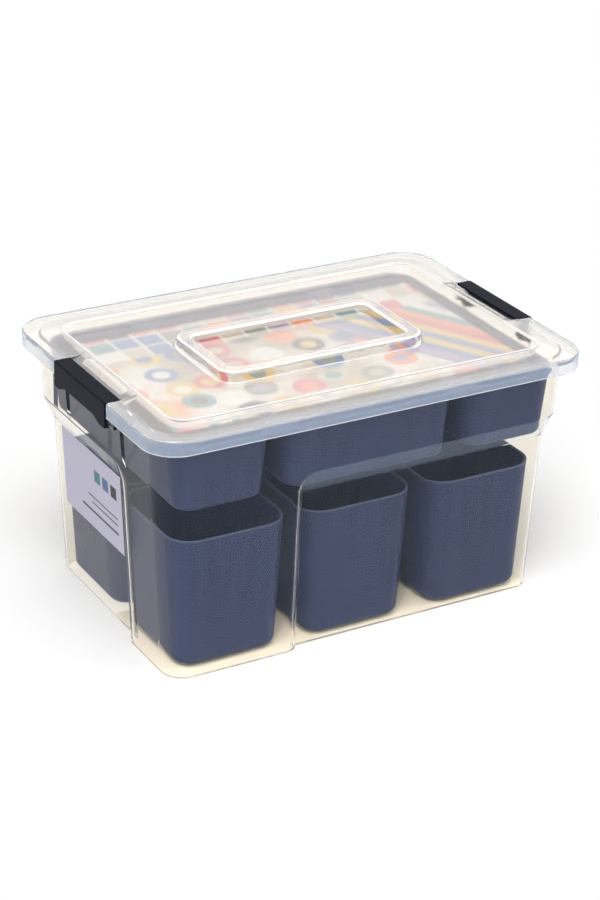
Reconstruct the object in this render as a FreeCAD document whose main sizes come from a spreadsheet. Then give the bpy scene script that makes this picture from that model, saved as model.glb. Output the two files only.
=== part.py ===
"""Clip-lid art supply box: clear tub and lid, two end clips, a lift-out tray over six cups.

The origin is under the middle of the tub, +Z is up, +X runs along the long side and the
front of the box faces -Y. All sizes are in millimetres.
"""
import FreeCAD, Part
import math
import operator
import os

import Sketcher

SIZES = [
    # lid
    ("lid_length", 430.0),
    ("lid_width", 300.0),
    ("lid_edge_height", 240.0),
    ("lid_corner", 32.0),
    ("lid_wall", 2.0),
    ("skirt_height", 14.0),
    ("skirt_bevel", 1.2),
    ("rim_band", 13.0),
    ("border_corner", 22.0),
    ("crest_inset", 32.0),
    ("crest_rise", 3.0),
    ("crest_corner", 16.0),
    ("panel_drop", 7.5),
    ("panel_draft", 2.0),
    ("ring_length", 204.0),
    ("ring_width", 104.0),
    ("ring_rise", 9.0),
    ("ring_draft", 4.0),
    ("ring_band", 12.0),
    ("ring_corner", 16.0),
    ("ring_well_corner", 8.0),
    ("ring_round", 2.5),
    ("ramp_drop", 4.0),
    ("ramp_toe", 1.0),
    # tub
    ("tub_top_inset", 10.7),
    ("tub_draft", 12.2),
    ("tub_corner", 34.0),
    ("tub_wall", 2.0),
    ("floor_thickness", 2.5),
    ("flange_thickness", 3.0),
    ("foot_round", 4.0),
    ("recess_depth", 8.0),
    ("shoulder_drop", 62.0),
    ("shoulder_height", 21.0),
    ("column_front_edge", 66.0),
    ("column_end_edge", 41.0),
    ("column_round", 10.0),
    ("column_flare", 22.0),
    # clips and the brackets that hold their pins
    ("clip_width", 102.0),
    ("clip_leg", 10.0),
    ("clip_thickness", 2.2),
    ("clip_proud", 1.5),
    ("clip_reach", 14.0),
    ("clip_drop", 23.5),
    ("clip_round", 1.5),
    ("clip_arch", 4.5),
    ("clip_arch_run", 12.0),
    ("pin_radius", 2.0),
    ("pin_arm_wall", 1.0),
    ("pin_inset", 4.5),
    ("pin_drop", 20.5),
    ("bracket_width", 9.0),
    ("bracket_drop", 60.0),
    ("bracket_slope", 14.0),
    ("bracket_rim", 2.0),
    # tray
    ("tray_end_gap", 9.5),
    ("tray_seat_rise", 5.0),
    ("tray_headroom", 9.5),
    ("tray_taper", 6.0),
    ("tray_wall", 2.0),
    ("tray_gap", 10.0),
    ("tray_middle", 172.0),
    ("tray_corner", 24.0),
    ("tray_inner_corner", 22.0),
    ("tray_lip", 2.0),
    ("tray_foot_round", 5.0),
    # cups
    ("cup_end_gap", 5.65),
    ("cup_side_gap", 3.65),
    ("cup_gap_along", 15.0),
    ("cup_gap_across", 8.0),
    ("cup_headroom", 28.2),
    ("cup_taper", 6.5),
    ("cup_corner", 24.0),
    ("cup_wall", 1.8),
    ("cup_foot_round", 9.0),
    # printed card under the lid and paper label on the left end
    ("card_end_margin", 16.0),
    ("card_side_margin", 31.0),
    ("card_corner", 3.0),
    ("card_thickness", 0.6),
    ("label_length", 122.0),
    ("label_height", 78.0),
    ("label_thickness", 0.3),
    ("label_from_column", 12.0),
    ("label_below_shoulder", 1.0),
    # clearances
    ("seat_gap", 0.3),
    ("flange_gap", 0.6),
    ("clip_side_gap", 1.2),
    ("clip_end_gap", 0.6),
    ("clip_under_gap", 0.3),
    ("bracket_gap", 0.3),
    ("pin_gap", 0.05),
    ("label_gap", 0.02),
]


class Size:
    """A length: its value, and the sheet expression that binds it in the document."""

    def __init__(self, value, text):
        self.value = value
        self.text = text

    def joined(self, other, sign, work):
        other = other if isinstance(other, Size) else Size(other, repr(other))
        text = "(%s %s %s)" % (self.text, sign, other.text)
        return Size(work(self.value, other.value), text)

    def __add__(self, other):
        return self.joined(other, "+", operator.add)

    def __sub__(self, other):
        return self.joined(other, "-", operator.sub)

    def __mul__(self, other):
        return self.joined(other, "*", operator.mul)

    def __truediv__(self, other):
        return self.joined(other, "/", operator.truediv)

    def __neg__(self):
        return self * -1

    def lean(self):
        """How much longer a slope is than its height, for a run per unit of height."""
        return Size(math.sqrt(1 + self.value ** 2), "sqrt(1 + (%s)^2)" % self.text)


class Sheet:
    """The spreadsheet of driving sizes, read by name."""

    def __init__(self, document, rows):
        self.cells = document.addObject("Spreadsheet::Sheet", "Sizes")
        for row, (alias, value) in enumerate(rows, start=1):
            self.cells.set("A%d" % row, alias)
            self.cells.set("B%d" % row, str(value))
            self.cells.setAlias("B%d" % row, alias)
        document.recompute()

    def __getattr__(self, alias):
        return Size(getattr(self.cells, alias), "Sizes." + alias)


doc = FreeCAD.newDocument("art_supply_box")
S = Sheet(doc, SIZES)
ZERO = Size(0.0, "0")
NEAR = 1e-4
sub_parts = []


# Drawing helpers

def new_body(label):
    body = doc.addObject("PartDesign::Body", label)
    body.Label = label
    sub_parts.append(body)
    return body


def bind(thing, path, length):
    thing.setExpression(path, length.text)


def base_plane(body, role):
    return next(plane for plane in body.Origin.OriginFeatures if plane.Role == role)


def new_sketch(body, name, height, along=ZERO, across=ZERO):
    """A sketch on the body's horizontal plane, lifted to a height and moved sideways."""
    sketch = body.newObject("Sketcher::SketchObject", name)
    sketch.AttachmentSupport = [(base_plane(body, "XY_Plane"), "")]
    sketch.MapMode = "FlatFace"
    for axis, length in (("x", along), ("y", across), ("z", height)):
        bind(sketch, ".AttachmentOffset.Base." + axis, length)
    return sketch


def measured(sketch, name, length, *where):
    index = sketch.addConstraint(Sketcher.Constraint(*where, length.value))
    sketch.renameConstraint(index, name)
    bind(sketch, "Constraints." + name, length)


def draw_rounded(sketch, tag, length, width, corners):
    """A rectangle about the sketch's middle; corners go round from front left, front first."""
    a = length.value / 2
    b = width.value / 2
    r = [corner.value for corner in corners]
    spots = [(-a, -b), (a, -b), (a, b), (-a, b)]
    ways = [(1, 0), (0, 1), (-1, 0), (0, -1)]
    first = sketch.GeometryCount
    for side in range(4):
        (x0, y0), (x1, y1), (dx, dy) = spots[side], spots[(side + 1) % 4], ways[side]
        start = FreeCAD.Vector(x0 + dx * r[side], y0 + dy * r[side])
        end = FreeCAD.Vector(x1 - dx * r[(side + 1) % 4], y1 - dy * r[(side + 1) % 4])
        sketch.addGeometry(Part.LineSegment(start, end))
    for corner in range(4):
        x, y = spots[corner]
        dx, dy = ways[corner]
        middle = FreeCAD.Vector(x + r[corner] * (dx - dy), y + r[corner] * (dx + dy))
        circle = Part.Circle(middle, FreeCAD.Vector(0, 0, 1), r[corner])
        turn = FreeCAD.Units.Quantity("90 deg").getValueAs("rad").Value
        start = turn * (2 + corner)
        sketch.addGeometry(Part.ArcOfCircle(circle, start, start + turn))
    for corner in range(4):
        arc = first + 4 + corner
        before = first + (corner + 3) % 4
        after = first + corner
        sketch.addConstraint(Sketcher.Constraint("Tangent", before, 2, arc, 1))
        sketch.addConstraint(Sketcher.Constraint("Tangent", arc, 2, after, 1))
        measured(sketch, "%sCorner%d" % (tag, corner), corners[corner], "Radius", arc)
    for side, way in enumerate(("Horizontal", "Vertical", "Horizontal", "Vertical")):
        sketch.addConstraint(Sketcher.Constraint(way, first + side))
    close_sides(sketch, tag, first, length, width)


def close_sides(sketch, tag, first, length, width):
    """Sizes of a rectangle whose four sides start at index first, placed about the middle."""
    measured(sketch, tag + "Length", length, "DistanceX", first + 3, 1, first + 1, 1)
    measured(sketch, tag + "Width", width, "DistanceY", first, 1, first + 2, 1)
    measured(sketch, tag + "Left", length / 2, "DistanceX", first + 3, 1, -1, 1)
    measured(sketch, tag + "Front", width / 2, "DistanceY", first, 1, -1, 1)


def draw_square(sketch, tag, length, width):
    """A rectangle with sharp corners about the sketch's middle."""
    a = length.value / 2
    b = width.value / 2
    spots = [FreeCAD.Vector(x, y) for x, y in ((-a, -b), (a, -b), (a, b), (-a, b))]
    first = sketch.GeometryCount
    for side in range(4):
        sketch.addGeometry(Part.LineSegment(spots[side], spots[(side + 1) % 4]))
    for side, way in enumerate(("Horizontal", "Vertical", "Horizontal", "Vertical")):
        after = first + (side + 1) % 4
        sketch.addConstraint(Sketcher.Constraint("Coincident", first + side, 2, after, 1))
        sketch.addConstraint(Sketcher.Constraint(way, first + side))
    close_sides(sketch, tag, first, length, width)


class Slice:
    """A rectangle at a height, round-cornered where corners are given, moved off the middle."""

    def __init__(self, height, length, width, corners=None, along=ZERO, across=ZERO):
        self.height = height
        self.length = length
        self.width = width
        self.corners = corners if isinstance(corners, (list, tuple)) or corners is None else [corners] * 4
        self.along = along
        self.across = across

    def sketch(self, body, name):
        sketch = new_sketch(body, name, self.height, self.along, self.across)
        if self.corners is None:
            draw_square(sketch, "Side", self.length, self.width)
        else:
            draw_rounded(sketch, "Side", self.length, self.width, self.corners)
        return sketch


def loft(body, name, kind, *slices):
    """A straight-sided loft through slices, given from the lowest up: Additive or Subtractive."""
    sketches = [piece.sketch(body, "%s_%d" % (name, i)) for i, piece in enumerate(reversed(slices))]
    feature = body.newObject("PartDesign::%sLoft" % kind, name)
    feature.Profile = sketches[0]
    feature.Sections = sketches[1:]
    feature.Ruled = True
    doc.recompute()
    return feature


def round_edges(body, name, radius, chosen):
    """A fillet on the edges of the body so far that the test chooses."""
    tip = body.Tip
    names = ["Edge%d" % (i + 1) for i, edge in enumerate(tip.Shape.Edges) if chosen(edge)]
    fillet = body.newObject("PartDesign::Fillet", name)
    fillet.Base = (tip, names)
    bind(fillet, "Radius", radius)
    doc.recompute()
    return fillet


def lies_at(height):
    """A test for edges that lie flat at a height."""
    level = height.value
    return lambda edge: abs(edge.BoundBox.ZMin - level) < NEAR and abs(edge.BoundBox.ZMax - level) < NEAR


# Levels and outlines that pieces share

SKIRT_BOTTOM = S.lid_edge_height - S.skirt_height
RIM_UNDERSIDE = S.lid_edge_height - S.lid_wall
CREST = S.lid_edge_height + S.crest_rise
PANEL = CREST - S.panel_drop
RING_TOP = PANEL + S.ring_rise
TUB_TOP = RIM_UNDERSIDE - S.seat_gap
SHOULDER_TOP = S.lid_edge_height - S.shoulder_drop
SHOULDER_BOTTOM = SHOULDER_TOP - S.shoulder_height
CLIP_FOOT = S.lid_edge_height - S.clip_drop
PIN_HEIGHT = S.lid_edge_height - S.pin_drop
PIN_ARM = S.pin_radius + S.pin_arm_wall
BRACKET_BOTTOM = S.lid_edge_height - S.bracket_drop
NOTCH_BACK = S.lid_length / 2 - S.clip_reach - S.clip_end_gap
PIN_ALONG = S.lid_length / 2 - S.pin_inset
BRACKET_START = S.clip_width / 2 + S.bracket_gap
TRAY_BOTTOM = SHOULDER_BOTTOM + S.tray_seat_rise
TRAY_TOP = PANEL - S.lid_wall - S.tray_headroom
CUP_BOTTOM = S.floor_thickness + S.seat_gap
CUP_TOP = SHOULDER_BOTTOM - S.cup_headroom
FLARE_STEPS = 6


def tub_inset(height):
    """How far the drafted tub wall stands inside the lid's outer edge at a height."""
    return S.tub_top_inset + S.tub_draft * (S.lid_edge_height - height) / S.lid_edge_height


def tub_slice(height, inward):
    """The tub's outline at a height, moved inward from its drafted outer face."""
    inset = tub_inset(height) + inward
    return Slice(height, S.lid_length - inset * 2, S.lid_width - inset * 2, tub_corner(inset))


def tub_corner(inset):
    """Corner radius of the tub at an inset: all its outlines have the same corner centres."""
    return S.tub_corner - inset + S.tub_top_inset


def inside_half(outer, height, step):
    """Half the tub's inside at a height, from a lid size; step is how far the wall steps in."""
    return outer / 2 - tub_inset(height) - step - S.tub_wall


def lid_slice(height, inset, corner):
    return Slice(height, S.lid_length - inset * 2, S.lid_width - inset * 2, corner)


# The tub

def column_slice(height, flare, inward, side):
    """A corner column of the tub, widened by the flare: side is -1 at front left, 1 at back right."""
    inset = tub_inset(height) + inward
    outer_along = S.lid_length / 2 - inset
    outer_across = S.lid_width / 2 - inset
    inner_along = S.column_front_edge + inward - flare
    inner_across = S.column_end_edge + inward - flare
    corners = [S.column_round] * 4
    corners[0 if side < 0 else 2] = tub_corner(inset)
    middle_along = (outer_along + inner_along) / 2 * side
    middle_across = (outer_across + inner_across) / 2 * side
    return Slice(height, outer_along - inner_along, outer_across - inner_across,
                 corners, middle_along, middle_across)


def column_levels(bottom):
    """Heights of a column and its flare there: straight, then a quarter round into the shoulder."""
    start = SHOULDER_TOP - S.column_flare
    levels = [(bottom, ZERO)]
    for step in range(FLARE_STEPS + 1):
        turn = math.radians(90 * step / FLARE_STEPS)
        levels.append((start + S.column_flare * math.sin(turn), S.column_flare * (1 - math.cos(turn))))
    return levels


def tub_form(body, tag, kind, inward, bottom):
    """The stepped tub form: narrow lower body, sloped shoulder, wide band and two columns."""
    stepped = S.recess_depth + inward
    levels = [(bottom, stepped), (SHOULDER_BOTTOM, stepped), (SHOULDER_TOP, inward), (TUB_TOP, inward)]
    for part, (low, high) in zip(("core", "shoulder", "band"), zip(levels, levels[1:])):
        loft(body, tag + part, kind, tub_slice(*low), tub_slice(*high))
    for part, side in (("front_column", -1), ("back_column", 1)):
        slices = [column_slice(height, flare, inward, side) for height, flare in column_levels(bottom)]
        loft(body, tag + part, kind, *slices)


def bracket_slice(height, outer, end, side):
    """A clip bracket on an end wall, from mid-wall out to a distance from the middle."""
    inner = S.lid_length / 2 - tub_inset(height) - S.tub_wall / 2
    return Slice(height, outer - inner, S.bracket_width, None, (outer + inner) / 2 * end,
                 (BRACKET_START + S.bracket_width / 2) * side)


def make_tub():
    body = new_body("tub")
    tub_form(body, "outer_", "Additive", ZERO, ZERO)
    round_edges(body, "foot", S.foot_round, lies_at(ZERO))
    flange = S.lid_wall + S.flange_gap
    loft(body, "flange", "Additive",
         lid_slice(TUB_TOP - S.flange_thickness, flange, S.lid_corner - flange),
         lid_slice(TUB_TOP, flange, S.lid_corner - flange))
    slope_top = BRACKET_BOTTOM + S.bracket_slope
    bracket_top = PIN_HEIGHT + PIN_ARM + S.bracket_rim / 2
    outer = PIN_ALONG + S.pin_radius + S.bracket_rim / 2
    for end in (-1, 1):
        for side in (-1, 1):
            tag = "bracket_%s_%s" % ("left" if end < 0 else "right", "front" if side < 0 else "back")
            wall_face = S.lid_length / 2 - tub_inset(BRACKET_BOTTOM)
            loft(body, tag + "_slope", "Additive", bracket_slice(BRACKET_BOTTOM, wall_face, end, side),
                 bracket_slice(slope_top, outer, end, side))
            loft(body, tag, "Additive", bracket_slice(slope_top, outer, end, side),
                 bracket_slice(bracket_top, outer, end, side))
    tub_form(body, "inner_", "Subtractive", S.tub_wall, S.floor_thickness)
    for end, name in ((-1, "left_pin_hole"), (1, "right_pin_hole")):
        hole = body.newObject("PartDesign::SubtractiveCylinder", name)
        bind(hole, "Radius", S.pin_radius + S.pin_gap)
        bind(hole, "Height", (BRACKET_START + S.bracket_width) * 2)
        hole.Placement.Rotation = FreeCAD.Rotation(FreeCAD.Vector(1, 0, 0), -90)
        bind(hole, ".Placement.Base.x", PIN_ALONG * end)
        bind(hole, ".Placement.Base.y", -(BRACKET_START + S.bracket_width))
        bind(hole, ".Placement.Base.z", PIN_HEIGHT)
        doc.recompute()


# The lid

def notch_slice(height, reach, width, end):
    """A rectangle from the back of a clip notch, reaching towards the middle of the lid."""
    return Slice(height, reach, width, None, (NOTCH_BACK - reach / 2) * end)


def make_lid():
    body = new_body("lid")
    crest_wall = S.crest_inset - S.lid_wall
    panel_inset = S.crest_inset + S.panel_draft
    notch_width = S.clip_width + S.clip_side_gap * 2
    ramp_run = NOTCH_BACK - S.lid_length / 2 + S.crest_inset
    loft(body, "skirt", "Additive", lid_slice(SKIRT_BOTTOM, ZERO, S.lid_corner),
         lid_slice(S.lid_edge_height - S.skirt_bevel, ZERO, S.lid_corner),
         lid_slice(S.lid_edge_height, S.skirt_bevel, S.lid_corner - S.skirt_bevel))
    loft(body, "border", "Additive", lid_slice(S.lid_edge_height, S.rim_band, S.border_corner),
         lid_slice(CREST, S.crest_inset, S.crest_corner))
    loft(body, "skirt_hollow", "Subtractive",
         lid_slice(SKIRT_BOTTOM, S.lid_wall, S.lid_corner - S.lid_wall),
         lid_slice(RIM_UNDERSIDE, S.lid_wall, S.lid_corner - S.lid_wall))
    loft(body, "border_hollow", "Subtractive",
         lid_slice(RIM_UNDERSIDE, S.rim_band + S.lid_wall, S.border_corner),
         lid_slice(CREST - S.lid_wall, S.crest_inset, S.crest_corner))
    loft(body, "pan", "Additive",
         lid_slice(PANEL - S.lid_wall, crest_wall + S.panel_draft, S.crest_corner),
         lid_slice(CREST - S.lid_wall / 2, crest_wall, S.crest_corner))
    for end, tag in ((-1, "left_"), (1, "right_")):
        slab_width = notch_width + S.lid_wall * 2
        loft(body, tag + "ramp", "Additive",
             notch_slice(S.lid_edge_height - S.ramp_drop - S.lid_wall, S.ramp_toe, slab_width, end),
             notch_slice(CREST - S.lid_wall, ramp_run, slab_width, end))
    loft(body, "recess", "Subtractive", lid_slice(PANEL, panel_inset, S.crest_corner),
         lid_slice(CREST, S.crest_inset, S.crest_corner))
    make_ring(body)
    for end, tag in ((-1, "left_"), (1, "right_")):
        loft(body, tag + "ramp_face", "Subtractive",
             notch_slice(S.lid_edge_height - S.ramp_drop, S.ramp_toe, notch_width, end),
             notch_slice(CREST, ramp_run, notch_width, end))
        reach = S.clip_reach + S.clip_end_gap + S.clip_proud
        low = Slice(SKIRT_BOTTOM, reach, notch_width, None, (NOTCH_BACK + reach / 2) * end)
        high = Slice(CREST, reach, notch_width, None, (NOTCH_BACK + reach / 2) * end)
        loft(body, tag + "notch", "Subtractive", low, high)
    round_edges(body, "ring_edges", S.ring_round, lies_at(RING_TOP))


def make_ring(body):
    """The raised hollow ring in the middle of the lid, round a shallow well."""
    base = S.ring_draft * 2
    band = S.ring_band * 2
    wall = S.lid_wall * 2
    loft(body, "ring", "Additive",
         Slice(PANEL, S.ring_length + base, S.ring_width + base, S.ring_corner + S.ring_draft),
         Slice(RING_TOP, S.ring_length, S.ring_width, S.ring_corner))
    well_length = S.ring_length - band
    well_width = S.ring_width - band
    loft(body, "ring_well", "Subtractive",
         Slice(PANEL, well_length - S.panel_draft, well_width - S.panel_draft, S.ring_well_corner),
         Slice(RING_TOP, well_length, well_width, S.ring_well_corner))
    channel = new_sketch(body, "ring_channel_outline", PANEL - S.lid_wall)
    draw_rounded(channel, "Outer", S.ring_length - wall, S.ring_width - wall,
                 [S.ring_corner - S.lid_wall] * 4)
    draw_rounded(channel, "Inner", well_length + wall, well_width + wall,
                 [S.ring_well_corner + S.lid_wall] * 4)
    hollow = body.newObject("PartDesign::Pocket", "ring_channel")
    hollow.Profile = channel
    hollow.Reversed = True
    bind(hollow, "Length", S.ring_rise)
    doc.recompute()


# The clips

def make_clip(label, turned):
    """An end clip for the left end; the right one is the same piece turned half round."""
    body = new_body(label)
    outer = S.lid_length / 2 + S.clip_proud
    face_middle = -(outer - S.clip_thickness / 2)
    strip_reach = S.clip_proud + S.clip_reach
    strip_low = RIM_UNDERSIDE + S.clip_under_gap - S.seat_gap
    loft(body, "face", "Additive",
         Slice(CLIP_FOOT, S.clip_thickness, S.clip_width, None, face_middle),
         Slice(S.lid_edge_height, S.clip_thickness, S.clip_width, None, face_middle))
    loft(body, "strip", "Additive",
         Slice(strip_low, strip_reach, S.clip_width, None, -(outer - strip_reach / 2)),
         Slice(S.lid_edge_height, strip_reach, S.clip_width, None, -(outer - strip_reach / 2)))
    arch_top = S.clip_width - S.clip_leg * 2 - S.clip_arch_run * 2
    loft(body, "arch", "Subtractive",
         Slice(CLIP_FOOT, S.clip_thickness, S.clip_width - S.clip_leg * 2, None, face_middle),
         Slice(CLIP_FOOT + S.clip_arch, S.clip_thickness, arch_top, None, face_middle))
    round_edges(body, "shoulder", S.clip_round, lambda edge: edge.BoundBox.XMax < NEAR - outer.value
                and lies_at(S.lid_edge_height)(edge))
    for side, tag in ((-1, "front_"), (1, "back_")):
        start = S.clip_width / 2 - S.clip_leg if side > 0 else -(S.clip_width / 2)
        round_bar(body, tag + "arm_end", PIN_ARM, S.clip_leg, start)
        arm_reach = outer - PIN_ALONG
        arm_middle = -(PIN_ALONG + arm_reach / 2)
        across = (S.clip_width - S.clip_leg) / 2 * side
        loft(body, tag + "arm", "Additive",
             Slice(PIN_HEIGHT - PIN_ARM, arm_reach, S.clip_leg, None, arm_middle, across),
             Slice(PIN_HEIGHT + PIN_ARM, arm_reach, S.clip_leg, None, arm_middle, across))
        pin_length = S.bracket_gap + S.bracket_width
        pin_start = S.clip_width / 2 if side > 0 else -(S.clip_width / 2 + pin_length)
        round_bar(body, tag + "pin", S.pin_radius, pin_length, pin_start)
    if turned:
        body.Placement = FreeCAD.Placement(FreeCAD.Vector(), FreeCAD.Rotation(FreeCAD.Vector(0, 0, 1), 180))


def round_bar(body, name, radius, length, start):
    """A round bar across the box on the left clip's pin line."""
    bar = body.newObject("PartDesign::AdditiveCylinder", name)
    bind(bar, "Radius", radius)
    bind(bar, "Height", length)
    bar.Placement.Rotation = FreeCAD.Rotation(FreeCAD.Vector(1, 0, 0), -90)
    bind(bar, ".Placement.Base.x", -PIN_ALONG)
    bind(bar, ".Placement.Base.y", start)
    bind(bar, ".Placement.Base.z", PIN_HEIGHT)
    doc.recompute()


# The tray, cups, card and label

def tray_seat_half_width():
    """Half the tray's width at its bottom, where its rounded foot rests on the tub's shoulder."""
    low = inside_half(S.lid_width, SHOULDER_BOTTOM, S.recess_depth)
    high = inside_half(S.lid_width, SHOULDER_TOP, ZERO)
    shoulder = (high - low) / S.shoulder_height
    wall = S.tray_taper / (TRAY_TOP - TRAY_BOTTOM)
    foot = S.tray_foot_round
    return (low + shoulder * S.tray_seat_rise + foot * (shoulder - wall + wall.lean())
            - (foot + S.seat_gap) * shoulder.lean())


def tray_length():
    return (inside_half(S.lid_length, TRAY_TOP, ZERO) - S.tray_end_gap) * 2


def tray_width():
    return (tray_seat_half_width() + S.tray_taper) * 2


def vessel(body, name, height, length, width, taper, wall, corner, bevel, along=ZERO):
    """The inside of a tapered vessel, with its floor edge bevelled; height is a (bottom, top) pair."""
    bottom, top = height
    share = (wall + bevel) / (top - bottom)
    slices = []
    for level, narrow in ((bottom + wall, taper + bevel), (bottom + wall + bevel, taper - taper * share),
                          (top, ZERO)):
        inset = (wall + narrow) * 2
        slices.append(Slice(level, length - inset, width - inset, corner - wall - narrow, along))
    loft(body, name, "Subtractive", *slices)


def make_tray():
    """Three tapered pockets side by side under one lipped top; it sits on the tub's shoulder."""
    body = new_body("tray")
    whole = tray_length()
    width = tray_width()
    side_length = (whole - S.tray_middle) / 2 - S.tray_gap - S.tray_lip
    side_along = S.tray_middle / 2 + S.tray_gap + side_length / 2
    taper = S.tray_taper * 2
    pockets = [("left", side_length, -side_along), ("middle", S.tray_middle, ZERO),
               ("right", side_length, side_along)]
    loft(body, "lip", "Additive",
         Slice(TRAY_TOP - S.tray_lip, whole, width + S.tray_lip * 2, S.tray_corner),
         Slice(TRAY_TOP, whole, width + S.tray_lip * 2, S.tray_corner))
    for name, length, along in pockets:
        loft(body, name + "_pocket", "Additive",
             Slice(TRAY_BOTTOM, length - taper, width - taper, S.tray_inner_corner - S.tray_taper, along),
             Slice(TRAY_TOP, length, width, S.tray_inner_corner, along))
    round_edges(body, "pocket_feet", S.tray_foot_round, lies_at(TRAY_BOTTOM))
    for name, length, along in pockets:
        vessel(body, name + "_inside", (TRAY_BOTTOM, TRAY_TOP), length, width, S.tray_taper,
               S.tray_wall, S.tray_inner_corner, S.tray_foot_round - S.tray_wall, along)


def make_cup(label, along, across):
    """One of six cups that share the tub's floor: three along and two across."""
    body = new_body(label)
    inside_length = inside_half(S.lid_length, CUP_TOP, S.recess_depth) * 2
    inside_width = inside_half(S.lid_width, CUP_TOP, S.recess_depth) * 2
    length = (inside_length - S.cup_end_gap * 2 - S.cup_gap_along * 2) / 3
    width = (inside_width - S.cup_side_gap * 2 - S.cup_gap_across) / 2
    height = CUP_TOP - CUP_BOTTOM
    taper = S.cup_taper * 2
    loft(body, "outside", "Additive",
         Slice(ZERO, length - taper, width - taper, S.cup_corner - S.cup_taper),
         Slice(height, length, width, S.cup_corner))
    round_edges(body, "foot", S.cup_foot_round, lies_at(ZERO))
    vessel(body, "inside", (ZERO, height), length, width, S.cup_taper,
           S.cup_wall, S.cup_corner, S.cup_foot_round - S.cup_wall)
    bind(body, ".Placement.Base.x", (length + S.cup_gap_along) * along)
    bind(body, ".Placement.Base.y", (width + S.cup_gap_across) / 2 * across)
    bind(body, ".Placement.Base.z", CUP_BOTTOM)


def make_card():
    body = new_body("insert_card")
    bottom = TRAY_TOP + S.seat_gap
    length = tray_length() - S.card_end_margin * 2
    width = tray_width() + S.tray_lip * 2 - S.card_side_margin * 2
    loft(body, "sheet", "Additive", Slice(bottom, length, width, S.card_corner),
         Slice(bottom + S.card_thickness, length, width, S.card_corner))


def make_label():
    """The paper label lies flat on the drafted recess face of the left end."""
    body = new_body("end_label")
    slices = []
    top = SHOULDER_BOTTOM - S.label_below_shoulder
    across = S.label_from_column + S.label_length / 2 - S.column_end_edge
    for height in (top - S.label_height, top):
        face = S.lid_length / 2 - tub_inset(height) - S.recess_depth
        along = -(face + S.label_gap + S.label_thickness / 2)
        slices.append(Slice(height, S.label_thickness, S.label_length, None, along, across))
    loft(body, "paper", "Additive", *slices)


make_tub()
make_lid()
make_clip("left_clip", False)
make_clip("right_clip", True)
make_tray()
for row, across in (("front", -1), ("back", 1)):
    for place, along in (("left", -1), ("middle", 0), ("right", 1)):
        make_cup("%s_%s_cup" % (row, place), along, across)
make_card()
make_label()
doc.recompute()

for thing in doc.Objects:
    if "Invalid" in thing.State or "Error" in thing.State:
        raise RuntimeError("%s failed: %s" % (thing.Label, thing.State))
os.makedirs("parts", exist_ok=True)
for body in sub_parts:
    shape = body.Shape
    if shape.isNull() or not shape.isValid() or len(shape.Solids) != 1:
        raise RuntimeError("%s is not one valid solid" % body.Label)
for body in sub_parts:
    body.Shape.exportStep("parts/%s.step" % body.Label)
    print(body.Label, round(body.Shape.Volume / 1000, 2), "cm3")
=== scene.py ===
"""Looks of the clip-lid art supply box: clear tub, frosted lid, navy tray, cups and clips."""
import math

import bpy
from mathutils import Matrix, Vector


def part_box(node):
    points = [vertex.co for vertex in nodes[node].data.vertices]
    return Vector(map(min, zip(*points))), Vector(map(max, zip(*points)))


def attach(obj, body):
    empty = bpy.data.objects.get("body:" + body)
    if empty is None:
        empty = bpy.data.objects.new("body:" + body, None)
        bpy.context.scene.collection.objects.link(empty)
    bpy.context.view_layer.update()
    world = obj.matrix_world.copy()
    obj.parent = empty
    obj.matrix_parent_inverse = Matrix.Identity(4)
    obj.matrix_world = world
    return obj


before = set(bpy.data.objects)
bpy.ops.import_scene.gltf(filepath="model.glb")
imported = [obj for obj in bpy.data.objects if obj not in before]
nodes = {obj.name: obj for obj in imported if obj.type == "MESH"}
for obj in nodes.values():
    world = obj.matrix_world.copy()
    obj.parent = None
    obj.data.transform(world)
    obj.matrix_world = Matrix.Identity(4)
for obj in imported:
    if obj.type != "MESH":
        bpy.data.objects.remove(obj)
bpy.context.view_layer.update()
CUPS = sorted(name for name in nodes if name.endswith("_cup"))

# Camera at the photograph's place

PICTURE_AZIMUTH = math.radians(29.85)
PICTURE_ELEVATION = math.radians(25.25)
PICTURE_DISTANCE = 2.2046
PICTURE_ROLL = math.radians(1.28)
PICTURE_AIM = Vector((0.0026, -0.0015, 0.1291))
PICTURE_LENS = 96.4

# Colours of the plastics and papers, as linear red, green and blue

CLEAR_TINT = (0.97, 0.94, 0.88, 1.0)
LID_TINT = (0.98, 0.96, 0.93, 1.0)
SKIRT_TINT = (0.95, 0.88, 0.80, 1.0)
HAZE = (0.58, 0.74, 1.0, 1.0)
FROST = (0.93, 0.91, 0.90, 1.0)
NAVY = (0.022, 0.032, 0.088, 1.0)
# Painted highlight colour for the band round the cup rims
RIM_HIGHLIGHT_NAVY = (0.060, 0.080, 0.150, 1.0)
CLIP_NAVY = (0.006, 0.007, 0.014, 1.0)
LABEL_LILAC = (0.42, 0.40, 0.52, 1.0)
INK = (0.030, 0.032, 0.045, 1.0)
WHITE = (1.0, 1.0, 1.0, 1.0)
FLOOR_WHITE = (0.93, 0.93, 0.93, 1.0)
PAINTS = {
    "cream": (0.34, 0.29, 0.22, 1.0),
    "orange": (0.46, 0.15, 0.06, 1.0),
    "sage": (0.12, 0.15, 0.12, 1.0),
    "rose": (0.36, 0.06, 0.08, 1.0),
    "paper": (0.46, 0.46, 0.45, 1.0),
    "blue": (0.06, 0.12, 0.26, 1.0),
    "yellow": (0.42, 0.29, 0.07, 1.0),
    "teal": (0.05, 0.17, 0.18, 1.0),
    "charcoal": (0.02, 0.02, 0.03, 1.0),
    "lilac": (0.22, 0.17, 0.28, 1.0),
}

# Tub: its share of cloudy plastic is CLEAR_HAZE on upright walls, SLOPE_HAZE on the shoulder and floor

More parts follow.
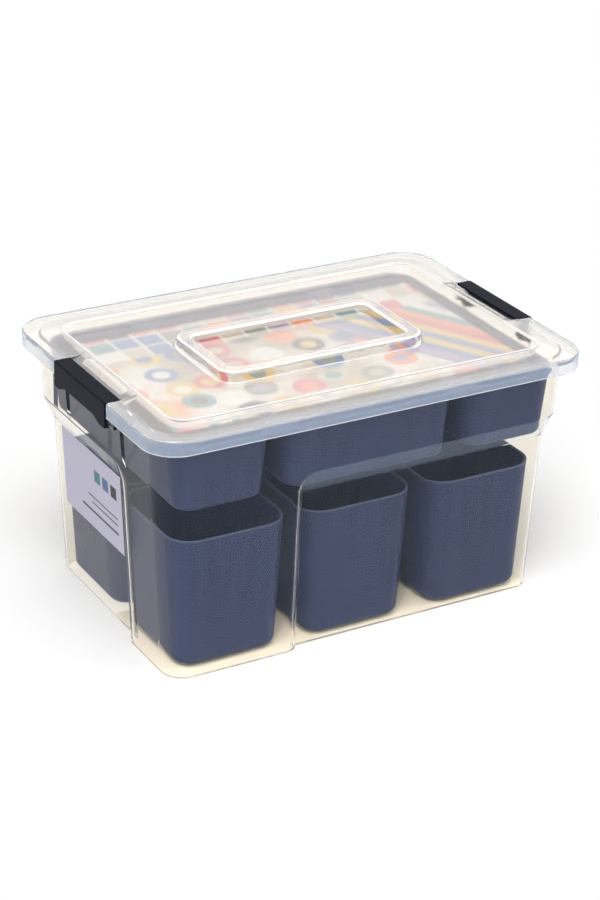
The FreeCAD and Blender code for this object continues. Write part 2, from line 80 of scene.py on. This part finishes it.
TUB_IOR = 1.12
TUB_ROUGHNESS_SCALE = 40.0
TUB_ROUGHNESS = (0.005, 0.025)
TUB_RIPPLE_SCALE = 22.0
TUB_RIPPLE_DETAIL = 1.0
TUB_RIPPLE_STRETCH = (1.0, 1.0, 0.25)
TUB_RIPPLE_DEPTH = 0.0006
CLEAR_HAZE = 0.012
SLOPE_HAZE = 0.055
SLOPE_START = 0.10
SLOPE_FULL = 0.35

# Lid: an edge is half its length, half its width, its corner radius and the height it starts at; the
# crest and ring lines are painted highlights, white lines of haze along those edges

LID_IOR = 1.34
LID_ROUGHNESS_SCALE = 60.0
LID_ROUGHNESS = (0.03, 0.06)
LID_GRAIN_SCALE = 1400.0
LID_GRAIN_DEPTH = 0.00004
SKIRT_HAZE = 0.18
WALL_HAZE = 0.04
FROST_HAZE = 0.15
PAINTED_EDGE_HIGHLIGHT = 0.70
PAINTED_HIGHLIGHT_WIDTH = 0.0012
SKIRT_WIDTH = 0.004
SKIRT_FLATTEST = 0.5
SKIRT_EDGE = (0.215, 0.150, 0.032, 0.0)
CREST_HIGHLIGHT_LINE = (0.1838, 0.1188, 0.0168, 0.240)
RING_HIGHLIGHT_LINE = (0.1012, 0.0512, 0.0152, 0.242)
RING_WELL_HIGHLIGHT_LINE = (0.0910, 0.0410, 0.0090, 0.242)

# Tray and cups

NAVY_SHADES = (0.75, 1.3)
NAVY_STREAK_SCALE = 130.0
NAVY_STREAK_DETAIL = 3.0
NAVY_STREAK_STRETCH = (1.0, 1.0, 0.03)
NAVY_ROUGHNESS_SCALE = 90.0
NAVY_ROUGHNESS = (0.32, 0.46)
NAVY_GLOSS = 0.15
NAVY_FLOW_SCALE = 240.0
NAVY_FLOW_DETAIL = 1.0
NAVY_FLOW_STRETCH = (1.0, 1.0, 0.04)
NAVY_FLOW_DEPTH = 0.00003
# Half the height of the painted highlight band round the cup rims
RIM_HIGHLIGHT_BAND = 0.0012

# Clips

CLIP_SHADES = (0.85, 1.25)
CLIP_SHADE_SCALE = 70.0
CLIP_SHADE_DETAIL = 3.0
CLIP_ROUGHNESS_SCALE = 120.0
CLIP_ROUGHNESS = (0.28, 0.42)
CLIP_GLOSS = 0.03
CLIP_GRAIN_SCALE = 1200.0
CLIP_GRAIN_DEPTH = 0.00004

# Card: dot sizes are shares of their pitch, the swatch line a share of a swatch

CARD_WASH_SCALE = 11.0
CARD_WASH_DETAIL = 3.0
CARD_WASH_PAINTS = ("sage", "cream", "paper", "orange")
CARD_WASH_START = 0.32
CARD_WASH_STEP = 0.13
CARD_DOT_PITCH = 0.036
CARD_DOT_SCATTER = 0.55
CARD_DOT_RADIUS = 0.42
CARD_DOT_CORE = 0.22
CARD_STRIPE = 0.011
CARD_STRIPE_TURN = math.radians(28.0)
CARD_STRIPE_START = 0.062
CARD_SWATCH = 0.024
CARD_SWATCH_LINE = 0.12
CARD_SWATCH_START = 0.052
CARD_SWATCH_ROW_STEP = 31.0
CARD_ROUGHNESS_SCALE = 300.0
CARD_ROUGHNESS = (0.36, 0.50)

# Label: a bar is its height, length and thickness, as shares of the label

LABEL_MARGIN = 0.08
LABEL_BARS = ((0.20, 0.62, 0.030), (0.32, 0.44, 0.018), (0.40, 0.50, 0.018))
LABEL_SQUARES = ("charcoal", "blue", "teal")
LABEL_SQUARE = 0.012
LABEL_SQUARE_PITCH = LABEL_SQUARE * 1.4
LABEL_SQUARE_HEIGHT = 0.64
LABEL_MOTTLE_SCALE = 900.0
LABEL_MOTTLE = 0.12
LABEL_ROUGHNESS_SCALE = 500.0
LABEL_ROUGHNESS = (0.48, 0.62)
LABEL_GRAIN_SCALE = 700.0
LABEL_GRAIN_DEPTH = 0.00003

# Bare pads on the lid's ramps: the corner is a little under half the width, so the end rounds don't meet

PAD_LENGTH = 0.080
PAD_WIDTH = 0.0085
PAD_CORNER = PAD_WIDTH * 0.49
PAD_CORNER_STEPS = 8
PAD_RISE = 0.0007
PAD_RIM = 0.0009
PAD_DISH = 0.0004
PAD_LIFT = 0.00005
RAMP_ALONG = 0.1912
RAMP_HEIGHT = 0.2395
RAMP_FALL = 7.0
RAMP_RUN = 16.4
RAMP_SLOPE = math.atan2(RAMP_FALL, RAMP_RUN)

# Floor, room and lamps: a lamp is its name, place, size and power

FLOOR_SIZE = 8.0
FLOOR_ROUGHNESS = 0.9
FLOOR_FADE_START = 0.27
FLOOR_FADE_END = 0.58
ROOM_LIGHT = 0.62
LAMP_AIM = Vector((0.0, 0.0, 0.12))
LAMPS = (
    ("key_softbox", (-0.6, -0.8, 1.9), (1.2, 1.2), 26.0),
    ("front_strip", (-1.2, -1.4, 0.9), (0.25, 1.4), 6.0),
    ("right_softbox", (1.8, -0.8, 1.0), (0.8, 1.2), 10.0),
)


def add_camera():
    """A camera that looks at the box as the photograph does, rolled a little."""
    level = math.cos(PICTURE_ELEVATION)
    away = Vector((-math.sin(PICTURE_AZIMUTH) * level, -math.cos(PICTURE_AZIMUTH) * level,
                   math.sin(PICTURE_ELEVATION)))
    right = Vector((0.0, 0.0, 1.0)).cross(away).normalized()
    up = away.cross(right)
    rolled_right = right * math.cos(PICTURE_ROLL) + up * math.sin(PICTURE_ROLL)
    rolled_up = up * math.cos(PICTURE_ROLL) - right * math.sin(PICTURE_ROLL)
    turn = Matrix((rolled_right, rolled_up, away)).transposed().to_4x4()
    lens = bpy.data.cameras.new("picture_camera")
    lens.lens = PICTURE_LENS
    camera = bpy.data.objects.new("picture_camera", lens)
    camera.matrix_world = Matrix.Translation(PICTURE_AIM + away * PICTURE_DISTANCE) @ turn
    bpy.context.scene.collection.objects.link(camera)
    bpy.context.scene.camera = camera


# Node helpers

def new_material(name):
    material = bpy.data.materials.new(name)
    material.use_nodes = True
    return material, material.node_tree, material.node_tree.nodes["Principled BSDF"]


def add_node(tree, kind, **settings):
    node = tree.nodes.new(kind)
    for name, value in settings.items():
        setattr(node, name, value)
    return node


def feed(tree, source, target):
    tree.links.new(source, target)


def fill(tree, socket, value):
    """Give a socket another socket's value, or a number or colour of its own."""
    if isinstance(value, bpy.types.NodeSocket):
        feed(tree, value, socket)
    else:
        socket.default_value = value


def show(tree, shader):
    """Make this shader the material's surface."""
    feed(tree, shader.outputs[0], tree.nodes["Material Output"].inputs["Surface"])


def math_node(tree, operation, first, second=0.0):
    """A Math node; each input is a socket or a number."""
    node = add_node(tree, "ShaderNodeMath", operation=operation)
    fill(tree, node.inputs[0], first)
    fill(tree, node.inputs[1], second)
    return node.outputs[0]


def noise(tree, scale, detail=2.0, stretch=(1.0, 1.0, 1.0)):
    """Noise over the piece in metres; a stretch below 1 draws it out along that axis."""
    place = add_node(tree, "ShaderNodeTexCoord")
    mapping = add_node(tree, "ShaderNodeMapping")
    mapping.inputs["Scale"].default_value = stretch
    texture = add_node(tree, "ShaderNodeTexNoise")
    texture.inputs["Scale"].default_value = scale
    texture.inputs["Detail"].default_value = detail
    feed(tree, place.outputs["Object"], mapping.inputs["Vector"])
    feed(tree, mapping.outputs["Vector"], texture.inputs["Vector"])
    return texture.outputs["Fac"]


def spread(tree, value, low, high):
    """A 0 to 1 value spread between two numbers."""
    node = add_node(tree, "ShaderNodeMapRange")
    feed(tree, value, node.inputs["Value"])
    node.inputs["To Min"].default_value = low
    node.inputs["To Max"].default_value = high
    return node.outputs["Result"]


def eased(tree, value, start, end):
    """0 below the start and 1 past the end, with a soft change between them."""
    node = add_node(tree, "ShaderNodeMapRange", interpolation_type="SMOOTHSTEP")
    feed(tree, value, node.inputs["Value"])
    node.inputs["From Min"].default_value = start
    node.inputs["From Max"].default_value = end
    return node.outputs["Result"]


def between(tree, value, low, high):
    """1 where a value lies between two numbers, 0 elsewhere."""
    return math_node(tree, "MULTIPLY", math_node(tree, "GREATER_THAN", value, low),
                     math_node(tree, "LESS_THAN", value, high))


def roughened(tree, shader, scale, limits):
    """Roughness that wanders between two limits."""
    feed(tree, spread(tree, noise(tree, scale), *limits), shader.inputs["Roughness"])


def bumped(tree, shader, height, depth):
    """Fine relief of the mould or paper, of a depth in metres."""
    bump = add_node(tree, "ShaderNodeBump")
    bump.inputs["Strength"].default_value = 1.0
    bump.inputs["Distance"].default_value = depth
    feed(tree, height, bump.inputs["Height"])
    feed(tree, bump.outputs["Normal"], shader.inputs["Normal"])


def painted(tree, under, over, mask):
    """The colour over, where the mask is 1, on the colour under."""
    mix = add_node(tree, "ShaderNodeMix", data_type="RGBA")
    feed(tree, mask, mix.inputs["Factor"])
    fill(tree, mix.inputs["A"], under)
    fill(tree, mix.inputs["B"], over)
    return mix.outputs["Result"]


def shaded(tree, colour, shares, value):
    """The colour, from a darker to a lighter shade of itself as the value goes from 0 to 1."""
    ramp = add_node(tree, "ShaderNodeValToRGB")
    for stop, share in zip(ramp.color_ramp.elements, shares):
        stop.color = tuple(share * part for part in colour[:3]) + (1.0,)
    feed(tree, value, ramp.inputs["Fac"])
    return ramp.outputs["Color"]


def mixed(tree, share, under, over):
    """A share of one shader over another."""
    mix = add_node(tree, "ShaderNodeMixShader")
    fill(tree, mix.inputs[0], share)
    feed(tree, under.outputs[0], mix.inputs[1])
    feed(tree, over.outputs[0], mix.inputs[2])
    return mix


def hazed(tree, shader, colour, amount):
    """The shader under a share of cloudy plastic."""
    milk = add_node(tree, "ShaderNodeBsdfDiffuse")
    fill(tree, milk.inputs["Color"], colour)
    return mixed(tree, amount, shader, milk)


def let_lamps_through(tree, shader, tint):
    """Light from lamps passes straight through the plastic, so that what it holds is lit."""
    path = add_node(tree, "ShaderNodeLightPath")
    clear = add_node(tree, "ShaderNodeBsdfTransparent")
    clear.inputs["Color"].default_value = tint
    show(tree, mixed(tree, path.outputs["Is Shadow Ray"], shader, clear))


def places(tree, middle):
    """The place measured from a middle point: as a vector, then along each axis."""
    place = add_node(tree, "ShaderNodeTexCoord")
    shifted = add_node(tree, "ShaderNodeMapping")
    shifted.inputs["Location"].default_value = -Vector(middle)
    split = add_node(tree, "ShaderNodeSeparateXYZ")
    feed(tree, place.outputs["Object"], shifted.inputs["Vector"])
    feed(tree, shifted.outputs["Vector"], split.inputs["Vector"])
    return shifted.outputs["Vector"], split.outputs["X"], split.outputs["Y"], split.outputs["Z"]


def facing(tree):
    """The way a face looks, as sockets along each axis."""
    geometry = add_node(tree, "ShaderNodeNewGeometry")
    split = add_node(tree, "ShaderNodeSeparateXYZ")
    feed(tree, geometry.outputs["Normal"], split.inputs["Vector"])
    return split.outputs


def flatness(tree):
    """1 on level faces and 0 on upright ones."""
    return math_node(tree, "ABSOLUTE", facing(tree)["Z"])


def edge_line(tree, outline, width):
    """1 along a rounded rectangle seen from above and above a height, 0 away from it."""
    half_length, half_width, corner, lowest = outline
    _, along, across, height = places(tree, (0.0, 0.0, 0.0))
    past_end = math_node(tree, "SUBTRACT", math_node(tree, "ABSOLUTE", along), half_length - corner)
    past_side = math_node(tree, "SUBTRACT", math_node(tree, "ABSOLUTE", across), half_width - corner)
    end = math_node(tree, "MAXIMUM", past_end, 0.0)
    side = math_node(tree, "MAXIMUM", past_side, 0.0)
    squares = math_node(tree, "ADD", math_node(tree, "MULTIPLY", end, end),
                        math_node(tree, "MULTIPLY", side, side))
    outside = math_node(tree, "SQRT", squares)
    inside = math_node(tree, "MINIMUM", math_node(tree, "MAXIMUM", past_end, past_side), 0.0)
    gap = math_node(tree, "SUBTRACT", math_node(tree, "ADD", outside, inside), corner)
    line = math_node(tree, "LESS_THAN", math_node(tree, "ABSOLUTE", gap), width)
    return math_node(tree, "MULTIPLY", line, math_node(tree, "GREATER_THAN", height, lowest))


# Materials

def clear_plastic():
    """The tub: clear polypropylene, faintly warm, with a soft ripple from the mould."""
    material, tree, shader = new_material("clear_polypropylene")
    shader.inputs["Base Color"].default_value = CLEAR_TINT
    shader.inputs["IOR"].default_value = TUB_IOR
    shader.inputs["Transmission Weight"].default_value = 1.0
    roughened(tree, shader, TUB_ROUGHNESS_SCALE, TUB_ROUGHNESS)
    ripple = noise(tree, TUB_RIPPLE_SCALE, TUB_RIPPLE_DETAIL, TUB_RIPPLE_STRETCH)
    bumped(tree, shader, ripple, TUB_RIPPLE_DEPTH)
    slope = eased(tree, flatness(tree), SLOPE_START, SLOPE_FULL)
    cloud = spread(tree, slope, CLEAR_HAZE, SLOPE_HAZE)
    let_lamps_through(tree, hazed(tree, shader, HAZE, cloud), CLEAR_TINT)
    return material


def frosted_plastic():
    """The lid: the same plastic, frosted on its level faces, with a bluish skirt and painted white
    highlights along its crest and ring edges.
    """
    material, tree, shader = new_material("frosted_polypropylene")
    level = flatness(tree)
    skirt = math_node(tree, "MULTIPLY", edge_line(tree, SKIRT_EDGE, SKIRT_WIDTH),
                      math_node(tree, "LESS_THAN", level, SKIRT_FLATTEST))
    feed(tree, painted(tree, LID_TINT, SKIRT_TINT, skirt), shader.inputs["Base Color"])
    shader.inputs["IOR"].default_value = LID_IOR
    shader.inputs["Transmission Weight"].default_value = 1.0
    roughened(tree, shader, LID_ROUGHNESS_SCALE, LID_ROUGHNESS)
    bumped(tree, shader, noise(tree, LID_GRAIN_SCALE), LID_GRAIN_DEPTH)
    cloud = spread(tree, level, WALL_HAZE, FROST_HAZE)
    cloud = math_node(tree, "MAXIMUM", cloud, math_node(tree, "MULTIPLY", skirt, SKIRT_HAZE))
    # Painted highlights: white lines of haze along the crest and ring edges
    for outline in (CREST_HIGHLIGHT_LINE, RING_HIGHLIGHT_LINE, RING_WELL_HIGHLIGHT_LINE):
        line = math_node(tree, "MULTIPLY", edge_line(tree, outline, PAINTED_HIGHLIGHT_WIDTH), PAINTED_EDGE_HIGHLIGHT)
        cloud = math_node(tree, "MAXIMUM", cloud, line)
    haze_and_highlights = hazed(tree, shader, painted(tree, FROST, HAZE, skirt), cloud)
    let_lamps_through(tree, haze_and_highlights, LID_TINT)
    return material


def navy_plastic():
    """Tray and cups: dark navy moulding with faint flow marks up the walls and a painted highlight, a
    paler band, round the cup rims.
    """
    material, tree, shader = new_material("navy_moulding")
    streaks = noise(tree, NAVY_STREAK_SCALE, NAVY_STREAK_DETAIL, NAVY_STREAK_STRETCH)
    colour = shaded(tree, NAVY, NAVY_SHADES, streaks)
    # Painted highlight: a paler band of navy at the height of the cups' rims
    cup_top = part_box(CUPS[0])[1].z
    height = places(tree, (0.0, 0.0, cup_top))[3]
    rim = between(tree, height, -RIM_HIGHLIGHT_BAND, RIM_HIGHLIGHT_BAND)
    feed(tree, painted(tree, colour, RIM_HIGHLIGHT_NAVY, rim), shader.inputs["Base Color"])
    roughened(tree, shader, NAVY_ROUGHNESS_SCALE, NAVY_ROUGHNESS)
    shader.inputs["Specular IOR Level"].default_value = NAVY_GLOSS
    flow = noise(tree, NAVY_FLOW_SCALE, NAVY_FLOW_DETAIL, NAVY_FLOW_STRETCH)
    bumped(tree, shader, flow, NAVY_FLOW_DEPTH)
    return material


def clip_plastic():
    """The clips: nearly black moulding, a little uneven in shade and gloss."""
    material, tree, shader = new_material("clip_moulding")
    patches = noise(tree, CLIP_SHADE_SCALE, CLIP_SHADE_DETAIL)
    feed(tree, shaded(tree, CLIP_NAVY, CLIP_SHADES, patches), shader.inputs["Base Color"])
    roughened(tree, shader, CLIP_ROUGHNESS_SCALE, CLIP_ROUGHNESS)
    shader.inputs["Specular IOR Level"].default_value = CLIP_GLOSS
    bumped(tree, shader, noise(tree, CLIP_GRAIN_SCALE), CLIP_GRAIN_DEPTH)
    return material


def paint_of(tree, value):
    """One of the paints for a value from 0 to 1."""
    ramp = add_node(tree, "ShaderNodeValToRGB")
    ramp.color_ramp.interpolation = "CONSTANT"
    stops = ramp.color_ramp.elements
    for i, paint in enumerate(PAINTS.values()):
        stop = stops[i] if i < 2 else stops.new(i / len(PAINTS))
        stop.position = i / len(PAINTS)
        stop.color = paint
    feed(tree, value, ramp.inputs["Fac"])
    return ramp.outputs["Color"]


def chance(tree, value):
    """A random 0 to 1 value for each whole number."""
    texture = add_node(tree, "ShaderNodeTexWhiteNoise", noise_dimensions="1D")
    feed(tree, value, texture.inputs["W"])
    return texture.outputs["Value"]


def card_wash(tree):
    """Soft washes of pale colour under the print."""
    ramp = add_node(tree, "ShaderNodeValToRGB")
    stops = ramp.color_ramp.elements
    for i, name in enumerate(CARD_WASH_PAINTS):
        stop = stops[i] if i < 2 else stops.new(1.0)
        stop.position = CARD_WASH_START + CARD_WASH_STEP * i
        stop.color = PAINTS[name]
    feed(tree, noise(tree, CARD_WASH_SCALE, CARD_WASH_DETAIL), ramp.inputs["Fac"])
    return ramp.outputs["Color"]


def with_dots(tree, colour, place):
    """Paint dots of two colours, scattered over the card."""
    dots = add_node(tree, "ShaderNodeTexVoronoi", voronoi_dimensions="2D")
    dots.inputs["Scale"].default_value = 1.0 / CARD_DOT_PITCH
    dots.inputs["Randomness"].default_value = CARD_DOT_SCATTER
    feed(tree, place, dots.inputs["Vector"])
    shade = add_node(tree, "ShaderNodeSeparateColor")
    feed(tree, dots.outputs["Color"], shade.inputs["Color"])
    for draw, radius in (("Red", CARD_DOT_RADIUS), ("Green", CARD_DOT_CORE)):
        dot = math_node(tree, "LESS_THAN", dots.outputs["Distance"], radius)
        colour = painted(tree, colour, paint_of(tree, shade.outputs[draw]), dot)
    return colour


def with_stripes(tree, colour, along, across):
    """Slanted stripes at the card's right end."""
    slant = math_node(tree, "ADD", math_node(tree, "MULTIPLY", along, math.cos(CARD_STRIPE_TURN)),
                      math_node(tree, "MULTIPLY", across, math.sin(CARD_STRIPE_TURN)))
    stripe = math_node(tree, "FLOOR", math_node(tree, "DIVIDE", slant, CARD_STRIPE))
    right_end = math_node(tree, "GREATER_THAN", slant, CARD_STRIPE_START)
    return painted(tree, colour, paint_of(tree, chance(tree, stripe)), right_end)


def with_swatches(tree, colour, along, across):
    """Rows of square swatches, with paper between them, along the card's back edge."""
    column = math_node(tree, "DIVIDE", along, CARD_SWATCH)
    row = math_node(tree, "DIVIDE", across, CARD_SWATCH)
    row_start = math_node(tree, "MULTIPLY", math_node(tree, "FLOOR", row), CARD_SWATCH_ROW_STEP)
    cell = math_node(tree, "ADD", math_node(tree, "FLOOR", column), row_start)
    nearest_side = math_node(tree, "MINIMUM", math_node(tree, "FRACT", column),
                             math_node(tree, "FRACT", row))
    square = math_node(tree, "GREATER_THAN", nearest_side, CARD_SWATCH_LINE)
    swatch = painted(tree, PAINTS["paper"], paint_of(tree, chance(tree, cell)), square)
    back_edge = math_node(tree, "GREATER_THAN", across, CARD_SWATCH_START)
    return painted(tree, colour, swatch, back_edge)


def card_print():
    """A generic print of paint dots, slanted stripes and swatches on washes of colour."""
    material, tree, shader = new_material("card_print")
    low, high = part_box("insert_card")
    place, along, across, _ = places(tree, (low + high) / 2)
    colour = with_dots(tree, card_wash(tree), place)
    colour = with_stripes(tree, colour, along, across)
    colour = with_swatches(tree, colour, along, across)
    feed(tree, colour, shader.inputs["Base Color"])
    roughened(tree, shader, CARD_ROUGHNESS_SCALE, CARD_ROUGHNESS)
    return material


def label_paper():
    """The end label: lilac-white paper with plain bars and a row of squares on its outer face."""
    material, tree, shader = new_material("label_paper")
    low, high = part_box("end_label")
    size = high - low
    _, _, across, height = places(tree, low)
    margin = size.y * LABEL_MARGIN
    mottle = spread(tree, noise(tree, LABEL_MOTTLE_SCALE), 0.0, LABEL_MOTTLE)
    colour = painted(tree, LABEL_LILAC, WHITE, mottle)
    marks = []
    for start, length, thick in LABEL_BARS:
        marks.append((INK, (size.z * start, size.z * (start + thick)),
                      (margin, size.y * (LABEL_MARGIN + length))))
    base = size.z * LABEL_SQUARE_HEIGHT
    for i, name in enumerate(LABEL_SQUARES):
        side = margin + LABEL_SQUARE_PITCH * i
        marks.append((PAINTS[name], (base, base + LABEL_SQUARE), (side, side + LABEL_SQUARE)))
    outer_face = math_node(tree, "LESS_THAN", facing(tree)["X"], 0.0)
    for paint, heights, sides in marks:
        mark = math_node(tree, "MULTIPLY", between(tree, height, *heights), between(tree, across, *sides))
        colour = painted(tree, colour, paint, math_node(tree, "MULTIPLY", mark, outer_face))
    feed(tree, colour, shader.inputs["Base Color"])
    roughened(tree, shader, LABEL_ROUGHNESS_SCALE, LABEL_ROUGHNESS)
    bumped(tree, shader, noise(tree, LABEL_GRAIN_SCALE), LABEL_GRAIN_DEPTH)
    return material


def dress(names, material):
    """The CAD nodes keep their shape and take this finish."""
    for name in names:
        mesh = nodes[name].data
        mesh.materials.clear()
        mesh.materials.append(material)


# Pads on the lid's ramps

def model_ramp_pad(finish):
    """A pill-shaped pad with a raised rim, lying flat at the origin."""
    bpy.ops.object.select_all(action="DESELECT")
    bpy.ops.mesh.primitive_plane_add(size=1.0)
    pad = bpy.context.object
    pad.scale = (PAD_WIDTH, PAD_LENGTH, 1.0)
    bpy.ops.object.transform_apply(scale=True)
    bpy.ops.object.mode_set(mode="EDIT")
    bpy.ops.mesh.select_all(action="SELECT")
    bpy.ops.mesh.bevel(offset=PAD_CORNER, segments=PAD_CORNER_STEPS, affect="VERTICES")
    bpy.ops.mesh.extrude_region_move(TRANSFORM_OT_translate={"value": (0.0, 0.0, PAD_RISE)})
    bpy.ops.mesh.inset(thickness=PAD_RIM, depth=-PAD_DISH)
    bpy.ops.mesh.select_all(action="SELECT")
    bpy.ops.mesh.normals_make_consistent(inside=False)
    bpy.ops.object.mode_set(mode="OBJECT")
    pad.data.materials.append(finish)
    return pad


def copied(piece):
    """The same shape again, with a mesh of its own."""
    twin = piece.copy()
    twin.data = piece.data.copy()
    bpy.context.collection.objects.link(twin)
    return twin


def seat_ramp_pad(pad, name, end):
    """Lay a flat pad on the ramp at one end of the lid, beside the clip."""
    pad.name = name
    pad.rotation_euler = (0.0, end * RAMP_SLOPE, 0.0)
    pad.location = (end * RAMP_ALONG, 0.0, RAMP_HEIGHT + PAD_LIFT)
    bpy.ops.object.select_all(action="DESELECT")
    pad.select_set(True)
    bpy.context.view_layer.objects.active = pad
    bpy.ops.object.transform_apply()
    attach(pad, "lid")


# Floor, room and lamps

def seen_directly(tree):
    """1 for rays from the camera, or seen in gloss or through clear plastic."""
    path = add_node(tree, "ShaderNodeLightPath")
    mirrored = math_node(tree, "MAXIMUM", path.outputs["Is Glossy Ray"],
                         path.outputs["Is Transmission Ray"])
    return math_node(tree, "MAXIMUM", path.outputs["Is Camera Ray"], mirrored)


def add_floor():
    """A pale floor that keeps the box's shadow and fades to white away from it."""
    bpy.ops.object.select_all(action="DESELECT")
    bpy.ops.mesh.primitive_plane_add(size=FLOOR_SIZE)
    floor = bpy.context.object
    floor.name = "floor"
    material, tree, shader = new_material("pale_floor")
    shader.inputs["Base Color"].default_value = FLOOR_WHITE
    shader.inputs["Roughness"].default_value = FLOOR_ROUGHNESS
    glow = add_node(tree, "ShaderNodeEmission")
    place = add_node(tree, "ShaderNodeTexCoord")
    reach = add_node(tree, "ShaderNodeVectorMath", operation="LENGTH")
    feed(tree, place.outputs["Object"], reach.inputs[0])
    fade = eased(tree, reach.outputs["Value"], FLOOR_FADE_START, FLOOR_FADE_END)
    show(tree, mixed(tree, math_node(tree, "MULTIPLY", fade, seen_directly(tree)), shader, glow))
    floor.data.materials.append(material)


def add_room():
    """A white room: full white wherever it is seen, dimmer as a light on the box."""
    world = bpy.data.worlds.new("white_room")
    bpy.context.scene.world = world
    world.use_nodes = True
    tree = world.node_tree
    background = tree.nodes["Background"]
    background.inputs["Color"].default_value = WHITE
    feed(tree, spread(tree, seen_directly(tree), ROOM_LIGHT, 1.0), background.inputs["Strength"])


def add_lamps():
    """Softboxes round the box, all turned to its middle."""
    for name, place, size, power in LAMPS:
        lamp = bpy.data.lights.new(name, "AREA")
        lamp.shape = "RECTANGLE"
        lamp.size, lamp.size_y = size
        lamp.energy = power
        softbox = bpy.data.objects.new(name, lamp)
        softbox.location = place
        softbox.rotation_euler = (LAMP_AIM - Vector(place)).to_track_quat("-Z", "Y").to_euler()
        bpy.context.scene.collection.objects.link(softbox)


add_camera()
dress(["tub"], clear_plastic())
lid_finish = frosted_plastic()
dress(["lid"], lid_finish)
left_pad = model_ramp_pad(lid_finish)
right_pad = copied(left_pad)
seat_ramp_pad(left_pad, "left_ramp_pad", -1)
seat_ramp_pad(right_pad, "right_ramp_pad", 1)
dress(["left_clip", "right_clip"], clip_plastic())
dress(["tray"] + CUPS, navy_plastic())
dress(["insert_card"], card_print())
dress(["end_label"], label_paper())
add_floor()
add_room()
add_lamps()
bpy.context.scene.view_settings.view_transform = "Standard"
